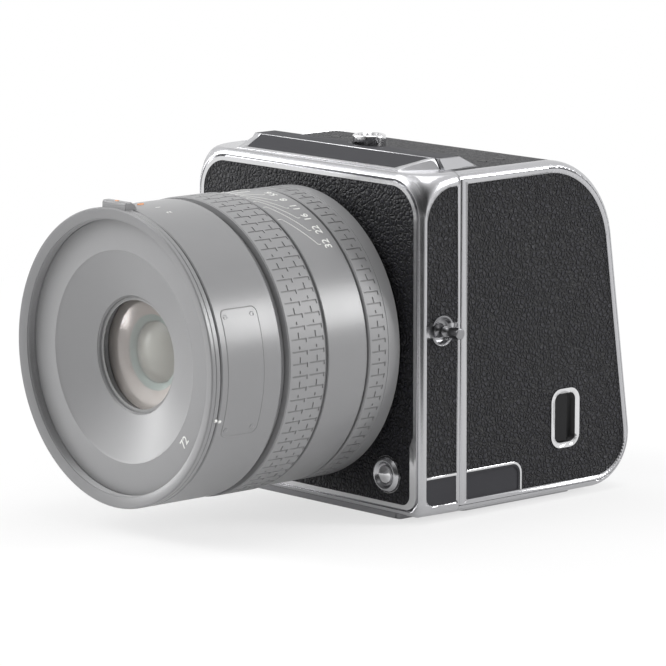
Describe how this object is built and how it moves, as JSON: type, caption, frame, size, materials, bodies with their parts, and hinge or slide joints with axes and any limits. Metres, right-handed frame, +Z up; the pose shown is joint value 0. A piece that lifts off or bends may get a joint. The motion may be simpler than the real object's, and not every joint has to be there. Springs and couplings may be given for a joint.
{
  "type": "medium format digital camera",
  "caption": "Medium format digital camera: slim body, rounded digital back with tilting screen and side door, and a large lens with turning rings.",
  "frame": {"origin": "centre of the tripod socket's mouth, on the plane that the camera stands on", "axes": "+Z up, -Y the way the lens points, +X the side with the opening door"},
  "size_m": [0.1024, 0.1451, 0.0966],
  "materials": {
    "body_metal": "satin chrome",
    "bright_trim": "polished",
    "black_metal": "satin black",
    "dark_plate": "satin dark grey",
    "leather_dark": "grained dark grey",
    "lens_metal": "satin mid grey",
    "steel": "brushed",
    "black_plastic": "matte black",
    "sensor": "dark glass",
    "glass": "coated",
    "screen": "black glass"
  },
  "bodies": {
    "camera": {"body_frame": "body_metal", "front_leather": "leather_dark", "front_bead": "bright_trim", "body_leather_right": "leather_dark", "body_leather_left": "leather_dark", "body_side_plate": "dark_plate", "strap_cups": "bright_trim", "strap_studs": "steel", "body_mount_ring": "steel", "light_throat": "black_plastic", "body_rear_plate": "black_metal", "dial_seat": "bright_trim", "foot_plate": "bright_trim", "tripod_socket": "steel", "bridge_front": "body_metal", "shield_plate": "dark_plate", "bridge_rear": "body_metal", "knob_plate": "black_metal", "back_housing": "body_metal", "top_leather": "leather_dark", "back_leather_left": "leather_dark", "door_hinge_pin": "steel", "battery": "black_plastic", "card_reader": "black_plastic", "screen_hinge_pins": "steel", "back_front_plate": "black_metal", "image_sensor": "sensor", "base_rib": "body_metal", "lens_mount_plate": "steel", "lens_core": "black_metal", "scale_barrel": "lens_metal", "front_barrel": "lens_metal", "barrel_plate": "dark_plate", "plate_rivets": "steel", "filter_ring": "lens_metal", "cone_bezel": "black_metal", "front_cell": "black_metal", "front_glass": "glass", "rear_glass": "glass"},
    "control_dial": {"control_dial": "bright_trim"},
    "shutter_button": {"shutter_button": "bright_trim"},
    "lens_release": {"lens_release": "bright_trim"},
    "release_knob": {"release_knob": "bright_trim"},
    "side_door": {"side_door": "body_metal", "door_leather": "leather_dark", "door_plate": "dark_plate", "latch_bezel": "bright_trim"},
    "door_latch": {"door_latch": "black_metal"},
    "port_cover": {"port_cover": "black_plastic"},
    "screen": {"screen_frame": "black_metal", "screen_glass": "screen"},
    "control_ring": {"control_ring": "lens_metal"},
    "focus_ring": {"focus_ring": "lens_metal"},
    "rear_button_1": {"rear_button_1": "black_metal"},
    "rear_button_2": {"rear_button_2": "black_metal"},
    "rear_button_3": {"rear_button_3": "black_metal"},
    "rear_button_4": {"rear_button_4": "black_metal"},
    "rear_button_5": {"rear_button_5": "black_metal"}
  },
  "joints": [
    {"name": "shutter_press", "type": "slide", "parent": "camera", "child": "shutter_button", "axis": [0, 1, 0], "range_m": [0, 0.0006], "stiffness_N_per_m": 1500},
    {"name": "dial_turn", "type": "hinge", "parent": "camera", "child": "control_dial", "pos_m": [0.0318, -0.0118, 0.0119], "axis": [0, 1, 0], "continuous": true},
    {"name": "lens_release_press", "type": "slide", "parent": "camera", "child": "lens_release", "axis": [0, 1, 0], "range_m": [0, 0.0016], "stiffness_N_per_m": 800},
    {"name": "back_release_slide", "type": "slide", "parent": "camera", "child": "release_knob", "axis": [1, 0, 0], "range_m": [0, 0.004], "stiffness_N_per_m": 400},
    {"name": "door_swing", "type": "hinge", "parent": "camera", "child": "side_door", "pos_m": [0.0433, 0.004, 0.0465], "axis": [0, 0, -1], "range_deg": [0, 95]},
    {"name": "door_latch_slide", "type": "slide", "parent": "side_door", "child": "door_latch", "axis": [0, 1, 0], "range_m": [0, 0.0025], "stiffness_N_per_m": 300},
    {"name": "port_cover_swing", "type": "hinge", "parent": "camera", "child": "port_cover", "pos_m": [-0.0436, 0.01885, 0.032], "axis": [0, 0, 1], "range_deg": [0, 95]},
    {"name": "screen_tilt", "type": "hinge", "parent": "camera", "child": "screen", "pos_m": [0, 0.05634, 0.07475], "axis": [1, 0, 0], "range_deg": [0, 90]},
    {"name": "control_ring_turn", "type": "hinge", "parent": "camera", "child": "control_ring", "pos_m": [0, -0.018, 0.0463], "axis": [0, 1, 0], "continuous": true},
    {"name": "focus_ring_turn", "type": "hinge", "parent": "camera", "child": "focus_ring", "pos_m": [0, -0.045, 0.0463], "axis": [0, 1, 0], "range_deg": [-70, 70]},
    {"name": "rear_button_1_press", "type": "slide", "parent": "camera", "child": "rear_button_1", "axis": [0, -0.9903, -0.1392], "range_m": [0, 0.0005], "stiffness_N_per_m": 1500},
    {"name": "rear_button_2_press", "type": "slide", "parent": "camera", "child": "rear_button_2", "axis": [0, -0.9903, -0.1392], "range_m": [0, 0.0005], "stiffness_N_per_m": 1500},
    {"name": "rear_button_3_press", "type": "slide", "parent": "camera", "child": "rear_button_3", "axis": [0, -0.9903, -0.1392], "range_m": [0, 0.0005], "stiffness_N_per_m": 1500},
    {"name": "rear_button_4_press", "type": "slide", "parent": "camera", "child": "rear_button_4", "axis": [0, -0.9903, -0.1392], "range_m": [0, 0.0005], "stiffness_N_per_m": 1500},
    {"name": "rear_button_5_press", "type": "slide", "parent": "camera", "child": "rear_button_5", "axis": [0, -0.9903, -0.1392], "range_m": [0, 0.0005], "stiffness_N_per_m": 1500}
  ]
}
